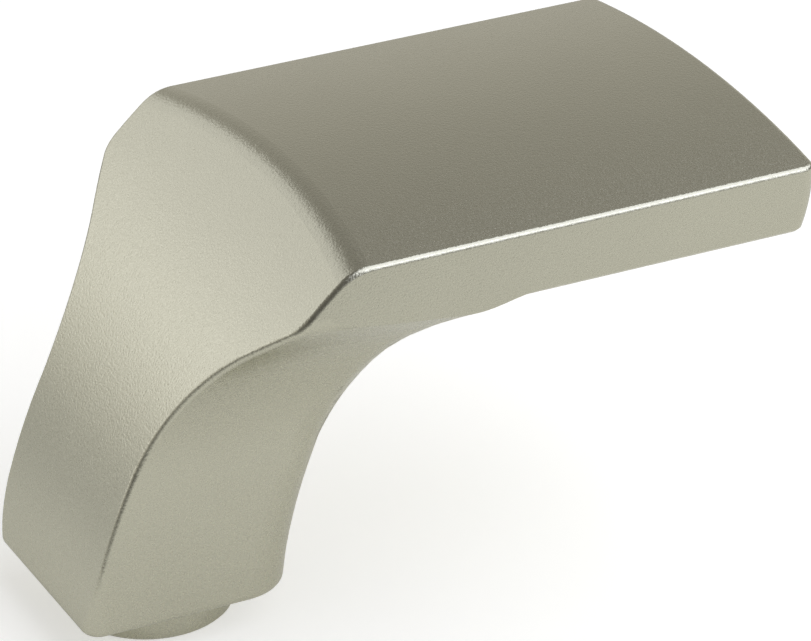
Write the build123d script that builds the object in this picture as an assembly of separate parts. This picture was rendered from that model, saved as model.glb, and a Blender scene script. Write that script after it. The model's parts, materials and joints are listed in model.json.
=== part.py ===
from build123d import *
import os
from math import asin, cos, degrees, radians, sin, sqrt, tan

# Cabinet knob: one casting whose blade reaches out sideways over a small foot.
# Millimetres. The origin is the centre of the screw hole's mouth, on the seat against the door.
# +Z points away from the door, +X runs along the blade and Y runs across it.

# Round boss that stands on the door
boss_diameter = 10.5
boss_height = 2.4
boss_edge_chamfer = 0.2

# Blind tapped hole for an M4 screw, drawn at its tap drill size
hole_diameter = 3.3
hole_depth = 10.5
drill_point_angle = 118.0

# Foot of the neck, on top of the boss
foot_length = 14.1
foot_width = 14.2
foot_back_corner_radius = 1.2
foot_front_corner_radius = 3.4
foot_edge_radius = 0.5
foot_land = 0.1

# Blade
blade_width = 28.0
blade_reach = 38.7
blade_side_height = 27.2
blade_thickness = 4.2
crown_rise = 1.06
tip_bow = 0.3
tip_barrel_radius = 10.0
tip_barrel_drop = 0.5

# Back face, an arc that leans from the foot up to the ridge
ridge_setback = 7.3
back_face_radius = 40.8

# Flare from the foot out to the blade: hollow arc, straight slope and a roll into the blade's side
flare_radius = 12.2
flare_turn = 48.0
roll_radius = 1.6
roll_drop = 2.4
flare_fall = 0.05
roll_fade_from = 6.0
roll_fade_to = 23.0
roll_faded_radius = 0.5
flare_front_turn = 58.0
flare_front_dip = 1.0
flare_front_overrun = 4.0

# Hollow under the blade: runs from the foot's front, with heights above the foot or drops below the blade
grip_low_run = 2.0
grip_low_height = 8.0
grip_middle_run = 4.9
grip_middle_height = 14.0
grip_high_run = 7.85
grip_high_drop = 2.4
grip_shoulder_run = 10.1
grip_shoulder_drop = 0.4
grip_run = 14.0
grip_foot_slope = 0.1
grip_overlap = 0.3
grip_end_slope = 0.06

# Rounded edges of the blade
ridge_radius = 3.0
tip_corner_radius = 0.8
top_edge_radius = 0.3
bottom_edge_chamfer = 0.2

# Room that the stock and the cutting shapes have past the finished faces
spare = 3.0
blade_overlap = 4.0
near = 0.01

foot_plane = boss_height
foot_back = -foot_length / 2
foot_front = foot_length / 2
half_foot = foot_width / 2
half_blade = blade_width / 2
underside = blade_side_height - blade_thickness
grip_end = foot_front + grip_run
corner_start = blade_reach - tip_bow - tip_corner_radius - near
stock_top = blade_side_height + spare
back_face_base = foot_plane + foot_edge_radius + foot_land


def sagitta_radius(half_chord, rise):
    """Radius of an arc that rises this much over this half chord."""
    return (half_chord ** 2 + rise ** 2) / (2 * rise)


def neck_outline(station, start, turn, slope, roll):
    """Outline across the blade: foot, hollow flare, straight slope, convex roll and upright side."""
    centre = half_foot + flare_radius
    touch_y = centre - flare_radius * cos(turn) + slope * sin(turn)
    touch_z = start + flare_radius * sin(turn) + slope * cos(turn)
    roll_y = touch_y - roll * cos(turn)
    roll_z = touch_z + roll * sin(turn)

    def flare_at(angle):
        return centre - flare_radius * cos(angle), start + flare_radius * sin(angle)

    def roll_at(angle):
        return roll_y + roll * cos(angle), roll_z - roll * sin(angle)

    outer = roll_y + roll
    top = stock_top + spare
    with BuildSketch(Plane.YZ.offset(station)) as outline:
        with BuildLine():
            for side in (1, -1):
                foot, low, middle, bend, touch, turned, high = (
                    (side * y, z)
                    for y, z in (
                        (half_foot, foot_plane),
                        flare_at(0),
                        flare_at(turn / 2),
                        flare_at(turn),
                        roll_at(turn),
                        roll_at(turn / 2),
                        roll_at(0),
                    )
                )
                Line(foot, low)
                ThreePointArc(low, middle, bend)
                Line(bend, touch)
                ThreePointArc(touch, turned, high)
                Line(high, (side * outer, top))
            Line((-half_foot, foot_plane), (half_foot, foot_plane))
            Line((-outer, top), (outer, top))
        make_face()
    return outline.sketch


def neck_side_view():
    """Prism of the neck seen from the side, with the hollow under the blade."""
    back = foot_back - spare
    bottom = foot_plane - spare
    hollow = [
        (foot_front, foot_plane),
        (foot_front + grip_low_run, foot_plane + grip_low_height),
        (foot_front + grip_middle_run, foot_plane + grip_middle_height),
        (foot_front + grip_high_run, underside - grip_high_drop),
        (foot_front + grip_shoulder_run, underside - grip_shoulder_drop),
        (grip_end, underside + grip_overlap),
    ]
    with BuildSketch(Plane.XZ) as view:
        with BuildLine():
            Polyline((foot_front, foot_plane), (foot_front, bottom), (back, bottom), (back, stock_top))
            Polyline((back, stock_top), (grip_end, stock_top), hollow[-1])
            Spline(hollow, tangents=[(grip_foot_slope, 1), (1, grip_end_slope)])
        make_face()
    return extrude(view.sketch, amount=blade_width, both=True)


def edges_at(solid, test):
    """Edges whose middle point passes the test."""
    return [edge for edge in solid.edges() if test(edge @ 0.5)]


def on_side(point):
    """Whether a point lies on one of the blade's two side faces."""
    return abs(abs(point.Y) - half_blade) < near


def rear_outline(station):
    """Neck outline whose roll ends in the blade's upright side."""
    turn = radians(flare_turn)
    radii = flare_radius + roll_radius
    slope = (half_blade - half_foot - radii * (1 - cos(turn))) / sin(turn)
    roll_top = blade_side_height - roll_drop - flare_fall * station
    start = roll_top - radii * sin(turn) - slope * cos(turn)
    return neck_outline(station, start, turn, slope, roll_radius)


def front_outline(station):
    """Neck outline that dips under the blade's lower side edge and runs out past it."""
    turn = radians(flare_front_turn)
    slope = (half_blade - half_foot - flare_radius * (1 - cos(turn))) / sin(turn)
    start = underside - flare_front_dip - flare_radius * sin(turn) - slope * cos(turn)
    return neck_outline(station, start, turn, slope + flare_front_overrun, roll_faded_radius)


def neck():
    """Neck that flares out past the blade's sides, with the foot's upright edges rounded."""
    outlines = [rear_outline(foot_back), rear_outline(roll_fade_from), front_outline(roll_fade_to)]
    solid = loft(outlines, ruled=True)
    solid = (solid & neck_side_view()).solid()
    grip = solid.faces().filter_by(lambda face: face.normal_at().X > near and face.normal_at().Z < -near)
    front = [
        edge
        for edge in grip.edges()
        if abs((edge @ 0.5).Y) > half_foot - near and (edge @ 0.5).Z < underside - near
    ]
    solid = solid.fillet(foot_front_corner_radius, front)
    back = edges_at(solid, lambda m: abs(m.X - foot_back) < near and abs(abs(m.Y) - half_foot) < near)
    solid = solid.fillet(foot_back_corner_radius, back)
    return solid.fillet(foot_edge_radius, edges_at(solid, lambda m: abs(m.Z - foot_plane) < near))


def blade():
    """Blade with its tip and lower edges finished, overlapping the neck."""
    start = grip_end - blade_overlap
    end = blade_reach + spare
    stock = Box(end - start, blade_width, stock_top - underside)
    solid = (Pos((start + end) / 2, 0, (underside + stock_top) / 2) * stock & tip_trim()).solid()
    between = underside + near, stock_top - near
    upright = edges_at(solid, lambda m: m.X > corner_start and on_side(m) and between[0] < m.Z < between[1])
    solid = solid.fillet(tip_corner_radius, upright)
    lower = edges_at(solid, lambda m: abs(m.Z - underside) < near and m.X > start + near)
    return solid.chamfer(bottom_edge_chamfer, None, lower)


def back_face_x(height):
    """Where the leaning back face stands at this height: an arc through its base and the ridge."""
    rise = blade_side_height - back_face_base
    run = ridge_setback - foot_back
    chord = sqrt(rise ** 2 + run ** 2)
    arm = sqrt(back_face_radius ** 2 - (chord / 2) ** 2)
    centre_x = foot_back + run / 2 + arm * rise / chord
    centre_z = back_face_base + rise / 2 - arm * run / chord
    return centre_x - sqrt(back_face_radius ** 2 - (height - centre_z) ** 2)


def back_and_crown():
    """Trimming shape with the leaning back, the crowned top and the rounded ridge between them."""
    end = blade_reach + 2 * spare
    heights = (-spare, blade_side_height / 2, stock_top)
    low, middle, high = ((back_face_x(height), height) for height in heights)
    with BuildSketch(Plane.XZ) as view:
        with BuildLine():
            ThreePointArc(low, middle, high)
            Polyline(high, (end, stock_top), (end, -spare), low)
        make_face()
    leaning = extrude(view.sketch, amount=blade_width, both=True)

    radius = sagitta_radius(half_blade, crown_rise)
    half = half_blade + spare
    crest = blade_side_height + crown_rise
    shoulder = crest - radius + sqrt(radius ** 2 - half ** 2)
    with BuildSketch(Plane.YZ.offset(foot_back - spare)) as view:
        with BuildLine():
            ThreePointArc((-half, shoulder), (0, crest), (half, shoulder))
            Polyline((half, shoulder), (half, -spare), (-half, -spare), (-half, shoulder))
        make_face()
    crowned = extrude(view.sketch, amount=blade_reach + foot_length)

    solid = (leaning & crowned).solid()
    ridge = edges_at(solid, lambda m: abs(m.Y) < near and m.Z > crest - near and m.X < grip_end)
    return solid.fillet(ridge_radius, ridge)


def tip_trim():
    """Trimming shape whose tip is bowed from above and barrelled from the side."""
    centre = blade_reach - sagitta_radius(half_blade, tip_bow)
    hub = blade_reach - tip_barrel_radius
    waist = blade_side_height - tip_barrel_drop
    start = foot_front

    def tip_at(height):
        return hub + sqrt(tip_barrel_radius ** 2 - (height - waist) ** 2), height

    low, high = tip_at(underside - spare), tip_at(stock_top)
    with BuildSketch(Plane.XZ) as view:
        with BuildLine():
            ThreePointArc(low, tip_at(waist), high)
            Polyline(high, (start, stock_top), (start, low[1]), low)
        make_face()
    axis = Axis((centre, 0, 0), (0, 0, 1))
    swing = degrees(asin((half_blade + spare) / (start - centre)))
    return revolve(view.sketch, axis, revolution_arc=2 * swing).rotate(axis, -swing)


def blade_and_neck():
    """Neck and blade in one, trimmed, with the top edges and the crease rounded."""
    sides = Pos(0, 0, stock_top / 2) * Box(4 * blade_reach, blade_width, 2 * stock_top)
    solid = (((neck() & sides) + blade()) & back_and_crown()).solid()
    upper = edges_at(solid, lambda m: on_crease(m) or on_ridge_side(m) or on_top_edge(m))
    return solid.fillet(top_edge_radius, upper)


def on_top_edge(point):
    """Whether a point lies on the edge round the top, along the blade's sides or its tip."""
    return point.Z > blade_side_height - near and (on_side(point) or point.X > corner_start)


def on_ridge_side(point):
    """Whether a point lies where the rounded ridge runs out at the blade's side."""
    beside_ridge = point.Z > blade_side_height - ridge_radius and point.X < ridge_setback + ridge_radius
    return on_side(point) and beside_ridge


def on_crease(point):
    """Whether a point lies on the edge between the leaning back face and the neck's flank."""
    if not back_face_base < point.Z < blade_side_height - near:
        return False
    return abs(point.Y) > near and abs(point.X - back_face_x(point.Z)) < near


def boss():
    """Round boss under the foot, with a chamfered rim on its seat."""
    lowest = (Align.CENTER, Align.CENTER, Align.MIN)
    solid = Cylinder(boss_diameter / 2, boss_height + spare, align=lowest)
    return chamfer(solid.edges().group_by(Axis.Z)[0], boss_edge_chamfer)


def screw_hole():
    """Blind hole for the screw, with the drill's point at its end."""
    radius = hole_diameter / 2
    point = radius / tan(radians(drill_point_angle / 2))
    with BuildSketch(Plane.XZ) as view:
        with BuildLine():
            Polyline(
                (0, -spare), (radius, -spare), (radius, hole_depth), (0, hole_depth + point), close=True
            )
        make_face()
    return revolve(view.sketch, Axis.Z)


knob_body = (blade_and_neck() + boss() - screw_hole()).solid()
os.makedirs("parts", exist_ok=True)
export_step(knob_body, "parts/knob_body.step")
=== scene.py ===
import json
import math

import bmesh
import bpy
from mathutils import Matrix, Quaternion, Vector


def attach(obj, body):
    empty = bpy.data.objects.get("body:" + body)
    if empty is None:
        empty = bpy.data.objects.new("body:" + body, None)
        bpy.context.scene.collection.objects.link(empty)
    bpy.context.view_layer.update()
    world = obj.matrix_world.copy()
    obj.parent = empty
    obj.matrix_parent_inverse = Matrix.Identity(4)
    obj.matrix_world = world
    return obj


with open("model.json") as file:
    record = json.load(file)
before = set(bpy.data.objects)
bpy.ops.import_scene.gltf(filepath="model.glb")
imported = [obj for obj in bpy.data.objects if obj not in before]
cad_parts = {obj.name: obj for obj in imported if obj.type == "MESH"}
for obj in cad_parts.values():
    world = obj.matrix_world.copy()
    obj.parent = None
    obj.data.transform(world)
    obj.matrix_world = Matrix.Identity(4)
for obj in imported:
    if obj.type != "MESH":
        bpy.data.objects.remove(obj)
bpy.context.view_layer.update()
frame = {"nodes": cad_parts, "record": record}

# Cabinet knob in satin nickel, seen from above its near corner. Metres, watts and degrees.
millimetre = 0.001

# Camera: the point it looks at, its heading to the right of +Y, its height and its distance
camera_target = Vector((17.64, -0.23, 15.19)) * millimetre
camera_heading = 26.82
camera_elevation = 27.62
camera_distance = 314.6 * millimetre
camera_lens = 226.56
camera_sensor = 36.0

# Pale floor, a hair below the seat so that the two planes don't meet
floor_half_side = 1.4
floor_level = -0.02 * millimetre
floor_paint = (0.80, 0.79, 0.72, 1.0)
white = (1.0, 1.0, 1.0, 1.0)
black = (0.0, 0.0, 0.0, 1.0)

# Strength that lifts the floor to white as it is seen, and as the metal mirrors it
floor_lift = 0.50
floor_mirror_lift = 0.235

# Painted shade in the floor as the metal mirrors it, where it darkens: direction, where that starts and
# ends, share taken
floor_painted_shade = (
    ((-0.62, -0.78, 0.0), 25.0 * millimetre, 65.0 * millimetre, 0.55),
    ((-0.60, 0.80, 0.0), 5.0 * millimetre, 75.0 * millimetre, 0.35),
)

# Surround: strengths low down, high up and on its dark side, and heights as the Z of a direction
surround_tint = (1.03, 1.0, 0.95, 1.0)
surround_low = 0.64
surround_high = 0.19
surround_dark = 0.13
surround_low_height = 0.10
surround_high_height = 0.86
surround_bright_side = (-0.17, 0.985, 0.0)
surround_blend = 0.35

# Soft boxes: name, direction from the object, distance, width and height, power, tint, roll
cool = (0.98, 1.0, 1.09)
cooler = (0.97, 1.0, 1.16)
soft_boxes = (
    ("window", (-0.59, 0.71, 0.39), 0.90, (1.17, 0.52), 1.06, cool, -30),
    ("window_low", (-0.63, 0.74, 0.23), 0.90, (0.50, 0.18), 0.07, cool, 0),
    ("overhead", (0.45, -0.27, 0.85), 0.75, (1.00, 0.84), 4.00, cooler, 0),
    ("front", (0.43, -0.81, 0.41), 0.70, (0.42, 0.48), 0.82, cooler, 0),
)

# Satin nickel: the grain sets roughness and bump, and slow clouds set the tone
nickel = (0.575, 0.563, 0.448, 1.0)
nickel_dark = (0.545, 0.533, 0.424, 1.0)
cloud_size = 6.0 * millimetre
cloud_detail = 3.0
cloud_roughness = 0.55
grain_size = 0.14 * millimetre
grain_height = 0.018 * millimetre
grain_detail = 1.0
grain_roughness = 0.5
grain_low = 0.3
grain_high = 0.7
satin_smooth = 0.25
satin_rough = 0.31

# M4 thread in the screw hole: a ridge that stands in from the drilled wall
thread_pitch = 0.7 * millimetre
thread_height = 0.15 * millimetre
thread_overlap = 0.01 * millimetre
thread_crest_width = 0.09 * millimetre
thread_foot_width = 0.62 * millimetre
thread_start = 0.45 * millimetre
thread_turns = 13
thread_steps = 36
thread_least_share = 0.05


class Tree:
    """Short way to add nodes to a node tree and link them."""

    def __init__(self, tree):
        self.tree = tree
        tree.nodes.clear()

    def put(self, socket, value):
        """Set an input, or link an output to it."""
        if isinstance(value, bpy.types.NodeSocket):
            self.tree.links.new(value, socket)
        else:
            socket.default_value = value

    def add(self, kind, *ordered, **named):
        """Add a node with its first inputs in order and others by name."""
        node = self.tree.nodes.new(kind)
        for socket, value in zip(node.inputs, ordered):
            self.put(socket, value)
        for key, value in named.items():
            self.put(node.inputs[key.replace("_", " ")], value)
        return node

    def math(self, operation, *values, clamp=False):
        """Result of a sum, a product or the like."""
        node = self.add("ShaderNodeMath", *values)
        node.operation = operation
        node.use_clamp = clamp
        return node.outputs[0]

    def along(self, place, direction):
        """How far a place lies along a direction."""
        node = self.add("ShaderNodeVectorMath", place, direction)
        node.operation = "DOT_PRODUCT"
        return node.outputs["Value"]

    def ramp(self, value, start, end, low, high, kind="LINEAR"):
        """Value that goes from low to high while another goes from start to end."""
        node = self.add(
            "ShaderNodeMapRange", Value=value, From_Min=start, From_Max=end, To_Min=low, To_Max=high
        )
        node.interpolation_type = kind
        return node.outputs["Result"]

    def noise(self, place, size, detail, roughness):
        """Noise whose lumps are about this size."""
        node = self.add(
            "ShaderNodeTexNoise", Vector=place, Scale=1 / size, Detail=detail, Roughness=roughness
        )
        return node.outputs[0]

    def mix(self, kind, *values):
        """Mix of two numbers or two colours, by a share."""
        node = self.add("ShaderNodeMix")
        node.data_type = kind
        open_inputs = [socket for socket in node.inputs if socket.enabled]
        for socket, value in zip(open_inputs, values):
            self.put(socket, value)
        return next(socket for socket in node.outputs if socket.enabled)

    def mix_shaders(self, share, first, second):
        """Mix of two shaders, by a share."""
        return self.add("ShaderNodeMixShader", share, first, second).outputs[0]


def material_tree(name):
    """New material and its empty node tree."""
    material = bpy.data.materials.new(name)
    material.use_nodes = True
    return material, Tree(material.node_tree)


def new_object(name, mesh, material):
    """Object with this mesh and material, added to the scene."""
    data = bpy.data.meshes.new(name)
    mesh.to_mesh(data)
    mesh.free()
    data.materials.append(material)
    made = bpy.data.objects.new(name, data)
    bpy.context.scene.collection.objects.link(made)
    return made


def camera():
    """Camera at the photograph's viewing angle."""
    heading = math.radians(camera_heading)
    height = math.radians(camera_elevation)
    level = math.cos(height)
    back = Vector((-math.sin(heading) * level, -math.cos(heading) * level, math.sin(height)))
    data = bpy.data.cameras.new("view")
    data.lens = camera_lens
    data.sensor_width = camera_sensor
    made = bpy.data.objects.new("view", data)
    made.location = camera_target + back * camera_distance
    made.rotation_euler = (-back).to_track_quat("-Z", "Y").to_euler()
    bpy.context.scene.collection.objects.link(made)
    bpy.context.scene.camera = made


def soft_box(name, direction, distance, size, power, tint, roll):
    """Rectangular lamp that looks at the object from a direction, rolled about that line."""
    data = bpy.data.lights.new(name, "AREA")
    data.shape = "RECTANGLE"
    data.size, data.size_y = size
    data.energy = power
    data.color = tint
    made = bpy.data.objects.new(name, data)
    outward = Vector(direction).normalized()
    made.location = camera_target + outward * distance
    aim = (-outward).to_track_quat("-Z", "Y")
    made.rotation_euler = (aim @ Quaternion((0, 0, 1), math.radians(roll))).to_euler()
    bpy.context.scene.collection.objects.link(made)


def surround():
    """Grey room that is darker overhead and behind the camera."""
    world = bpy.data.worlds.new("surround")
    world.use_nodes = True
    bpy.context.scene.world = world
    t = Tree(world.node_tree)
    direction = t.add("ShaderNodeTexCoord").outputs["Generated"]
    height = t.add("ShaderNodeSeparateXYZ", direction).outputs["Z"]
    lit = t.ramp(height, surround_low_height, surround_high_height, surround_low, surround_high)
    side = t.along(direction, surround_bright_side)
    share = t.ramp(side, -surround_blend, surround_blend, 0.0, 1.0, "SMOOTHSTEP")
    strength = t.mix("FLOAT", share, surround_dark, lit)
    back = t.add("ShaderNodeBackground", Color=surround_tint, Strength=strength)
    t.add("ShaderNodeOutputWorld", Surface=back.outputs[0])


def pale_floor():
    """Pale paint: white as it is seen, with painted shade in places as the metal mirrors it, clear from
    below.
    """
    material, t = material_tree("pale_floor")
    path = t.add("ShaderNodeLightPath").outputs
    point = t.add("ShaderNodeNewGeometry").outputs
    direct = t.math("ADD", path["Is Camera Ray"], path["Is Transmission Ray"], clamp=True)
    direct_lift = t.math("MULTIPLY", direct, floor_lift)
    lift = t.math("MULTIPLY_ADD", path["Is Glossy Ray"], floor_mirror_lift, direct_lift)
    paint = t.add("ShaderNodeBsdfDiffuse", Color=floor_paint)
    glow = t.add("ShaderNodeEmission", Color=white, Strength=lift)
    seen = t.add("ShaderNodeAddShader", paint.outputs[0], glow.outputs[0]).outputs[0]
    # Painted shade: where the metal mirrors the floor, the floor is mixed toward black away from the
    # object on two sides
    painted_shade_black = t.add("ShaderNodeEmission", Color=black).outputs[0]
    for direction, start, end, share in floor_painted_shade:
        painted_shade = t.ramp(t.along(point["Position"], direction), start, end, 0.0, share, "SMOOTHSTEP")
        seen = t.mix_shaders(t.math("MULTIPLY", path["Is Glossy Ray"], painted_shade), seen, painted_shade_black)
    clear = t.add("ShaderNodeBsdfTransparent").outputs[0]
    t.add("ShaderNodeOutputMaterial", Surface=t.mix_shaders(point["Backfacing"], seen, clear))
    return material


def floor():
    """Flat floor, which isn't part of the object."""
    mesh = bmesh.new()
    bmesh.ops.create_grid(mesh, x_segments=1, y_segments=1, size=floor_half_side)
    made = new_object("floor", mesh, pale_floor())
    made.location.z = floor_level


def satin_nickel():
    """Fine blasted nickel plate: an even grain, slight clouding and a warm grey tone."""
    material, t = material_tree("satin_nickel")
    where = t.add("ShaderNodeTexCoord").outputs["Object"]
    cloud = t.noise(where, cloud_size, cloud_detail, cloud_roughness)
    grain = t.noise(where, grain_size, grain_detail, grain_roughness)
    tone = t.mix("RGBA", cloud, nickel_dark, nickel)
    satin = t.ramp(grain, grain_low, grain_high, satin_smooth, satin_rough)
    bump = t.add("ShaderNodeBump", Strength=1.0, Distance=grain_height, Height=grain)
    metal = t.add(
        "ShaderNodeBsdfPrincipled", Metallic=1.0, Roughness=satin, Base_Color=tone, Normal=bump.outputs[0]
    )
    t.add("ShaderNodeOutputMaterial", Surface=metal.outputs[0])
    return material


def thread_share(step, steps):
    """Share of the ridge's height at a step: it grows over the first turn and fades over the last."""
    turns_to_end = min(step, steps - step) / thread_steps
    return min(1, max(thread_least_share, turns_to_end))


def thread_ring(mesh, wall, step, share):
    """Corners of the ridge's V section at one step of the helix."""
    angle = 2 * math.pi * step / thread_steps
    rise = thread_start + thread_pitch * step / thread_steps
    foot = wall + thread_overlap
    crest = foot - (thread_height + thread_overlap) * share
    section = (
        (foot, -thread_foot_width / 2),
        (crest, -thread_crest_width / 2),
        (crest, thread_crest_width / 2),
        (foot, thread_foot_width / 2),
    )
    return [
        mesh.verts.new((radius * math.cos(angle), radius * math.sin(angle), rise + z))
        for radius, z in section
    ]


def screw_thread(metal):
    """Helical ridge on the drilled wall, along most of the hole."""
    hole = next(mount for mount in frame["record"]["mounts"] if mount["name"] == "screw_hole")
    wall = hole["dims"]["r_mm"] * millimetre
    steps = thread_turns * thread_steps
    mesh = bmesh.new()
    rings = [thread_ring(mesh, wall, step, thread_share(step, steps)) for step in range(steps + 1)]
    for ring, after in zip(rings, rings[1:]):
        for corner in range(len(ring)):
            mesh.faces.new((ring[corner - 1], ring[corner], after[corner], after[corner - 1]))
    mesh.faces.new(reversed(rings[0]))
    mesh.faces.new(rings[-1])
    bmesh.ops.recalc_face_normals(mesh, faces=mesh.faces)
    made = new_object("screw_thread", mesh, metal)
    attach(made, "root")


def dress_knob(metal):
    """Nickel on the cast body."""
    for slot in frame["nodes"]["knob_body"].material_slots:
        slot.link = "OBJECT"
        slot.material = metal


camera()
surround()
floor()
for box in soft_boxes:
    soft_box(*box)
nickel_plate = satin_nickel()
dress_knob(nickel_plate)
screw_thread(nickel_plate)
bpy.context.scene.view_settings.view_transform = "Standard"
